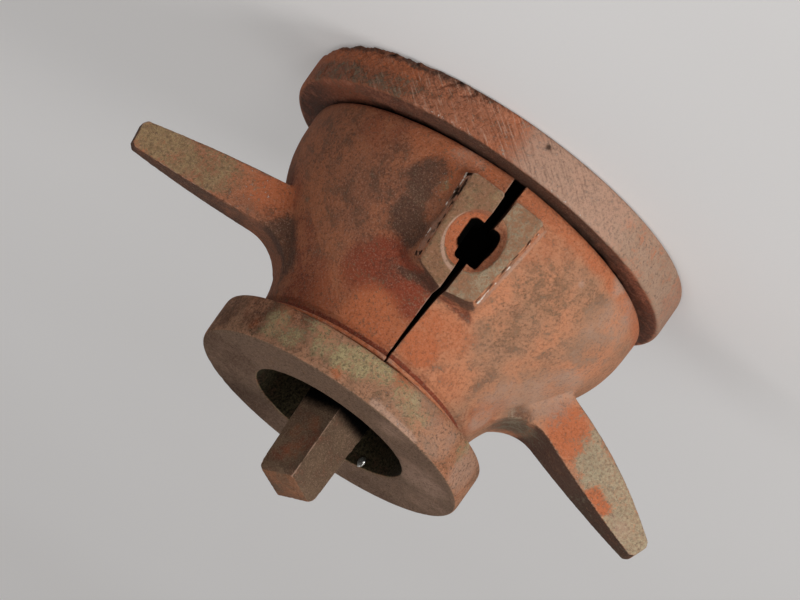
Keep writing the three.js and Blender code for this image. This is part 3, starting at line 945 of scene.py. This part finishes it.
LEFT_STAINS = {
    "orange": [
        (-7, -43, 78, 11, 1.0), (-5, -47, 71, 10, 0.85), (-12, -46, 70, 14, 0.6), (-67, -13, 62, 13, 0.95),
        (-73, -12, 66, 9, 0.9), (-88, -9.5, 74.5, 6, 1.0), (-93, -8.5, 75.5, 4.6, 1.0),
        (-85, -10.6, 62.5, 4, 0.7), (-41, -20, 78, 14, 0.6), (-24, -36, 82, 12, 0.4),
        (-17, -63, 30, 13, 0.45), (-23, -60, 24, 14, 0.35),
    ],
    "rust": [(-12, -40, 84, 10, 0.3), (-36, -20, 84, 10, 0.3)],
    "soot": [
        (-29, -58, 40, 9, 0.34), (-30, -37, 72, 9, 0.26), (-30, -44, 62, 9, 0.28), (-25, -53.5, 51.6, 5, 0.5),
        (-51, -15, 68.6, 6, 0.75), (-49, -6, 72, 9, 0.8), (-38, -22, 80, 7, 0.25), (-58, -14, 60, 9, 0.35),
        (-41, -24, 71.5, 5, 0.3), (-40, -50, 43, 4, 0.4), (-47, -49, 28, 4, 0.4),
    ],
    "bare": [
        (-78, -11, 66, 9, 0.5), (-84, -10, 70, 9, 0.4), (-30, -57, 40, 18, 0.55), (-27, -49, 56, 14, 0.5),
        (-55, -36, 41, 15, 0.55), (-42, -47, 32, 16, 0.5),
    ],
    "green": [
        (-79, -11, 65, 10, 0.9), (-86, -10, 67, 12, 1.0), (-94, -9, 70, 13, 1.2), (-103, -7, 75, 15, 1.3),
        (-108, -6, 78, 12, 1.3), (-70, -13, 56, 6, 0.8), (-75, -12, 59, 6, 0.8),
    ],
    "pale": [
        (-48, -45, 18.4, 9, 0.9), (-40, -18.6, 79, 9, 0.6), (-53, -15.5, 60, 10, 0.55),
        (-38, -56, 30, 2.4, 0.7), (-56, -38, 30, 22, 0.45), (-55, -22, 56, 20, 0.6),
        (-57, -33, 42, 18, 0.36), (-45, -26, 70, 18, 0.45), (-103, -7, 77, 7, 0.4), (-46, -46, 24, 3, 0.5),
    ],
    "speck": [(-82, -10, 64, 6, 0.6), (-88, -9.8, 68, 7, 0.4)],
}
HANDLE_ORANGE = [(-88, -9.5, 74.5, 6, 1.0), (-93, -8.5, 75.5, 4.6, 1.0), (-67, -13, 62, 12, 0.8)]
HANDLE_WEB = [(-53, -2, 68, 15, 0.95), (-50, -12, 70, 8, 0.7)]
LEFT_FLANK_STRIPS = [(0.1 * MM, 0.7 * MM), (0.9 * MM, 1.4 * MM), (1.6 * MM, 2.6 * MM)]


def left_paint(points, normals):
    """A pale brown cone, an orange neck and foot, and a handle that is green towards its end; painted shade
    on the bore, joint faces, pouring hole, groove, the pad's sloping side and its end.
    """
    soft = swerved(points)
    own = in_own_frame(points, "shell_left")
    sides = handle_sides(points, normals, own, 55 * MM)
    front = pad_face(own, "shell_left")
    near, middle, far = (pad_flank(own, "shell_left", *strip) for strip in LEFT_FLANK_STRIPS)
    plain = (1 - sides) * (1 - front)
    groove = neck_band(own, *GROOVE)
    # Painted shade on the gate pad's sloping end, in rust and soot colours
    pad_end_shade = pad_foot(own)
    tip = ease(points[:, 0], -74 * MM, -88 * MM)
    web = ease(normals[:, 2], 0.2, 0.5) * spots(soft, HANDLE_WEB)
    paint = stained(soft, plain, LEFT_STAINS)
    bead = neck_band(own, *BEAD)
    paint["orange"] = strongest(0.75 * plain * foot(own), 0.6 * plain * bead, paint["orange"])
    paint["orange"] *= (1 - groove) * (1 - pad_end_shade)
    paint["orange"] += 0.3 * funnel(own)
    paint["rust"] = strongest(1.1 * plain * groove, 0.7 * plain * pad_end_shade, paint["rust"])
    paint["rust"] = strongest(0.5 * sides * (1 - tip), 0.4 * funnel(own) + paint["rust"])
    paint["soot"] = 0.35 * pad_end_shade + strongest(1.05 * sides, plain * web, paint["soot"])
    paint["bare"] = strongest(0.95 * front, paint["bare"])
    paint["green"] *= 1 - spots(soft, HANDLE_ORANGE)
    paint["green"] = strongest(0.42 * front, 0.6 * web, 0.15 * sides * tip, paint["green"])
    paint["pale"] = strongest(0.6 * far, paint["pale"])
    # Bright nicks along the pad's sloping side, the handle and the pad, partly painted glints
    paint["nick_and_glint"] = strongest(
        1.15 * middle * dashes(points, 1.8 * MM, 32), 0.66 * plain * lines(points, 0.9, HANDLE_NICK_AND_GLINT),
        0.7 * plain * lines(points, 0.9, PAD_NICK_AND_GLINT))
    # Black: painted shade on the bore, joint faces, pouring hole, groove and along the pad's sloping side;
    # also a scratch and dark spots on the handle
    paint["dark_and_shade"] = strongest(
        unseen_side(own, normals), pouring_hole(own), 0.25 * groove, 0.8 * lines(points, 0.8, SCRATCHES),
        0.3 * web, 0.3 * sides * tip, 0.6 * near * dashes(points, 1.2 * MM, 34))
    return paint


RING_STAINS = {
    "orange": [
        (-40, -34, 101, 17, 0.42), (-46, -24, 103, 14, 0.42), (43, -30, 102, 3.4, 0.8),
        (12, -51, 105, 3, 0.6), (-30, -43, 94, 9, 0.42), (36, -38, 95, 9, 0.4), (22, -47, 95, 6, 0.4),
        (-8, -51.6, 92.5, 7, 0.5),
    ],
    "rust": [(45, -27, 96, 12, 0.35), (30, -43, 94, 9, 0.35), (51, -12, 100, 12, 0.3)],
    "soot": [(51, -12, 99, 14, 0.5), (42, -31, 98, 12, 0.6), (30, -43, 98, 12, 0.5)],
    "bare": [(-36, -38, 98, 16, 0.4), (-45, -27, 102, 12, 0.4)],
    "green": [
        (37, -37, 100, 8, 0.62), (31, -42, 101, 7, 0.55), (20, -48, 99, 8, 0.5), (12, -51, 99, 8, 0.7),
        (6, -52, 96, 9, 0.78), (-2, -52.4, 96, 7, 0.75), (-13, -51, 98, 9, 0.66), (24, -46, 96, 8, 0.45),
        (-20, -48, 100, 7, 0.5), (-40, -34, 96, 6, 0.45),
    ],
    "pale": [
        (-28, -44, 101, 12, 0.4), (-18, -49, 95, 10, 0.3), (-45, -27, 100, 13, 0.65), (-32, -42, 99, 10, 0.5),
        (-12, -52, 103, 7, 0.4),
    ],
    "speck": [(33, -41, 99, 9, 0.4), (0, -52, 97, 14, 0.35)],
}
RING_FACE_STAINS = {
    "soot": [(43, 2, 107, 20, 0.5), (25, 41, 107, 22, 0.62), (-28, 38, 107, 18, 0.4), (40, 24, 107, 16, 0.4)],
    "pale": [(-36, -13, 107, 20, 0.6), (-15, -43, 107, 12, 0.45), (-44, 8, 107, 14, 0.4)],
}
RING_EDGE_PALE = [[(-5, -52.3, 106), (-13, -50.9, 106.4), (-23, -47.2, 106.8)]]
RING_EDGE_SPECKS = [[(-7, -52, 105.4), (-13, -50.9, 106), (-20, -48.6, 106.4)]]
# Bright nicks on the face's edge, partly painted glints
RING_NICKS_AND_GLINTS = [(-56, 30, 0.5), (-100, 60, 0.25)]


def ring_shape(points, normals):
    """Small chips along both edges, more of them on the left."""
    flat = np.column_stack((points[:, :2], 0.3 * points[:, 2]))
    worn_side = 0.35 + around(points, -130, 80)
    small = 0.25 + worn_side * 0.9 * ease(rough_noise(flat, 3 * MM, 21), 0.25, 0.8)
    points = chipped(points, RING_RADIUS, RING_FACE, small * MM)
    back = 0.25 + 0.7 * ease(rough_noise(flat, 3 * MM, 22), 0.35, 0.8)
    return chipped(points, RING_RADIUS, RING_FACE - RING_THICKNESS, back * MM)


def ring_paint(points, normals):
    """A dull face, a rim that is green in front and orange and pale at the left, with bright edge nicks that
    are partly painted glints, and painted shade in the hollow and behind the face.
    """
    soft = swerved(points)
    height = points[:, 2]
    far = reach(points)
    face = ease(normals[:, 2], 0.6, 0.9) * ease(height, RING_FACE - 1.2 * MM, RING_FACE - 0.6 * MM)
    on_rim = ease(far, RING_RADIUS - 1.6 * MM, RING_RADIUS - 0.5 * MM) * (1 - face)
    in_mouth = ease(far, MOUTH_RADIUS + 0.8 * MM, MOUTH_RADIUS + 0.2 * MM)
    hollow = in_mouth * ease(height, RING_FACE + 0.1 * MM, RING_FACE - 0.7 * MM)
    behind = RING_FACE - RING_THICKNESS
    plug = ease(height, behind + 0.2 * MM, behind - 0.6 * MM)
    outer = ease(far, RING_RADIUS - 2 * MM, RING_RADIUS - 0.8 * MM)
    edge = outer * ease(height, RING_FACE - 1.4 * MM, RING_FACE - 0.5 * MM)
    paint = stained(soft, on_rim, RING_STAINS)
    for name, share in stained(soft, face, RING_FACE_STAINS).items():
        paint[name] = strongest(paint[name], share)
    paint["green"] += 0.8 * hollow
    paint["pale"] = strongest(paint["pale"], 0.95 * on_rim * lines(points, 6, RING_EDGE_PALE))
    paint["speck"] = strongest(paint["speck"], 1.1 * on_rim * lines(points, 5, RING_EDGE_SPECKS))
    # Bright nicks on the face's edge, partly painted glints
    paint["nick_and_glint"] = edge * arcs(points, RING_NICKS_AND_GLINTS)
    # Black: painted shade in the hollow and behind the face
    paint["dark_and_shade"] = HIDDEN_SHADE * strongest(hollow, plug)
    paint["face"] = face
    return paint


BAR_DENT = [(-4.2, -8.9, 113.7, 1.5, 0.7)]
BAR_KNOCKS = [(12.2, -0.4, 132.2, 2.2, 0.9), (0.9, -12.6, 132.6, 1.2, 0.54)]
BAR_PITS = [
    (2.9, -10.9, 121.6, 0.9, 0.5), (1.7, -12, 122.4, 0.7, 0.5), (1.3, -12.4, 119.4, 0.7, 0.5),
    (3.4, -10.4, 123.8, 0.6, 0.5),
]
BAR_EDGE = [[(0.8, -13.1, 117), (0.8, -13.0, 131.4)]]
BAR_TIP = [[(1.0, -12.9, 130), (0.9, -12.2, 132.4)]]
BAR_STAINS = {
    "orange": [(5, -8, 112, 5, 0.3), (8, -4.6, 117, 5, 0.3), (6, -6.6, 124, 7, 0.3)],
    "rust": [(4, -9.4, 118, 6, 0.4), (9, -3.6, 126, 6, 0.4)],
    # Black in the pits, as painted shade
    "dark_and_shade": [(2.9, -10.9, 121.6, 1.2, 0.6), (1.5, -12.1, 121, 1.2, 0.48), (3.3, -10.5, 123.8, 1, 0.48)],
}


def bar_shape(points, normals):
    """A dent in one side, corners knocked off its end, and pits along one edge."""
    damage = sum(spots(points, places) for places in (BAR_DENT, BAR_KNOCKS, BAR_PITS))
    return points - normals * (damage * MM)[:, None]


def bar_paint(points, normals):
    """Brown, rubbed along the front edge and at the end, with bright nicks there that are partly painted
    glints, and painted shade in the pits and down in the hollow.
    """
    deep = ease(points[:, 2], RING_FACE + 3 * MM, RING_FACE - 7 * MM)
    end = ease(normals[:, 2], 0.55, 0.9)
    paint = stained(points, 1, BAR_STAINS)
    paint["orange"] = strongest(0.36 * end, paint["orange"])
    paint["soot"] = 0.2 * ease(normals[:, 0], 0.2, 0.6) * (1 - deep)
    paint["bare"] = 0.42 * end
    # Bright nicks on the front edge and the tip, partly painted glints
    paint["nick_and_glint"] = 0.66 * lines(points, 1.4, BAR_EDGE) + 0.9 * lines(points, 1.6, BAR_TIP)
    # Black down in the hollow, as painted shade
    paint["dark_and_shade"] += 0.94 * deep
    return paint


def tin_splash(place, size):
    """A frozen drop of tin, flattened against the hollow's wall."""
    mesh = bpy.data.meshes.new("tin_splash")
    work = bmesh.new()
    bmesh.ops.create_icosphere(work, subdivisions=4, radius=1)
    work.to_mesh(mesh)
    work.free()
    points = points_of(mesh)
    out = points * (1 + 0.35 * rough_noise(points, 0.9, 31)[:, None])
    out = out * np.array((1.0, 0.55, 1.3)) * size
    turn = math.atan2(place.y, place.x) - math.pi / 2
    set_points(mesh, moved(out, Matrix.Translation(place) @ Matrix.Rotation(turn, 4, "Z")))
    mesh.polygons.foreach_set("use_smooth", [True] * len(mesh.polygons))
    finish = Finish("tin")
    speckle = finish.noise(0.5, 3)
    colour = finish.mix(finish.between(speckle, 0.35, 0.65), tint(214, 214, 210), tint(150, 148, 142))
    rough = finish.math("ADD", 0.25, finish.times(speckle, 0.3))
    mesh.materials.append(finish.done(colour, 1.0, rough, finish.bump(speckle, 0.1)))
    piece = linked("tin_splash", mesh)
    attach(piece, "top_core")


# Floor, light and camera

def floor(half):
    mesh = bpy.data.meshes.new("floor")
    corners = [(-half, -half, 0), (half, -half, 0), (half, half, 0), (-half, half, 0)]
    mesh.from_pydata(corners, [], [(0, 1, 2, 3)])
    finish = Finish("pale_floor")
    drift = finish.noise(420, 2)
    colour = finish.mix(drift, tint(196, 193, 191), tint(206, 204, 203))
    weave = finish.noise(1.6, 2)
    material = finish.done(colour, 0.0, 0.9, finish.bump(weave, 0.05))
    finish.glow(colour, FLOOR_GLOW)
    mesh.materials.append(material)
    sheet = linked("floor", mesh)


def lamp(name, place, size, power):
    """A round lamp that shines on the middle of the mould."""
    data = bpy.data.lights.new(name, "AREA")
    data.shape = "DISK"
    data.size = size
    data.energy = power
    light = linked(name, data)
    light.location = place
    light.rotation_mode = "QUATERNION"
    light.rotation_quaternion = (LAMP_TARGET - Vector(place)).to_track_quat("-Z", "Y")
    light.visible_camera = False


def sky(strength, seen):
    """Even light from all round, which the camera sees as the studio's pale wall."""
    world = bpy.data.worlds.new("studio")
    world.use_nodes = True
    nodes, links = world.node_tree.nodes, world.node_tree.links
    nodes.clear()
    light = nodes.new("ShaderNodeBackground")
    light.inputs["Strength"].default_value = strength
    wall = nodes.new("ShaderNodeBackground")
    wall.inputs["Color"].default_value = seen
    path = nodes.new("ShaderNodeLightPath")
    choice = nodes.new("ShaderNodeMixShader")
    out = nodes.new("ShaderNodeOutputWorld")
    links.new(path.outputs["Is Camera Ray"], choice.inputs[0])
    links.new(light.outputs[0], choice.inputs[1])
    links.new(wall.outputs[0], choice.inputs[2])
    links.new(choice.outputs[0], out.inputs["Surface"])
    bpy.context.scene.world = world


def camera():
    data = bpy.data.cameras.new("camera")
    data.lens = CAMERA_LENS
    data.sensor_width = SENSOR_WIDTH
    data.clip_start = 0.1
    data.clip_end = 100
    made = linked("camera", data)
    made.location = CAMERA_PLACE
    aim = (CAMERA_TARGET - CAMERA_PLACE).to_track_quat("-Z", "Y").to_matrix()
    made.rotation_euler = (aim @ Matrix.Rotation(CAMERA_ROLL, 3, "Z")).to_euler()
    bpy.context.scene.camera = made


camera()
floor(half=30)
sky(strength=0.32, seen=tint(206, 204, 203))
for lamp_settings in LAMPS:
    lamp(*lamp_settings)

base_finish = patina(
    "base_bronze", tint(180, 116, 86), tint(162, 106, 80), tint(116, 82, 62), tint(156, 144, 116),
    grain=1.3, tooled=True)
left_finish = patina(
    "left_shell_bronze", tint(190, 126, 90), tint(166, 121, 92), tint(137, 104, 80), tint(170, 160, 132),
    grain=1.1)
right_finish = patina(
    "right_shell_bronze", tint(166, 100, 66), tint(144, 90, 63), tint(104, 72, 52), tint(156, 132, 94),
    grain=1.35)
ring_finish = patina(
    "ring_bronze", tint(180, 128, 97), tint(156, 115, 88), tint(102, 80, 61), tint(182, 170, 124),
    grain=1.7, shine=0.15)
bar_finish = patina(
    "bar_bronze", tint(112, 88, 68), tint(98, 77, 59), tint(70, 56, 44), tint(120, 110, 84),
    grain=1.1, shine=0.2)

dressed("base_disc_core", "base", CELL, base_shape, base_paint, base_finish)
dressed("shell_left", "left_half", CELL, left_shape, left_paint, left_finish)
dressed("shell_right", "right_half", CELL, right_shape, right_paint, right_finish)
dressed("top_ring_core", "top_core", CELL, ring_shape, ring_paint, ring_finish)
dressed("core_bar", "top_core", BAR_CELL, bar_shape, bar_paint, bar_finish)
tin_splash(place=Vector((-18.7, 22.1, 105.2)) * MM, size=1.5 * MM)

bpy.context.scene.view_settings.view_transform = "Standard"
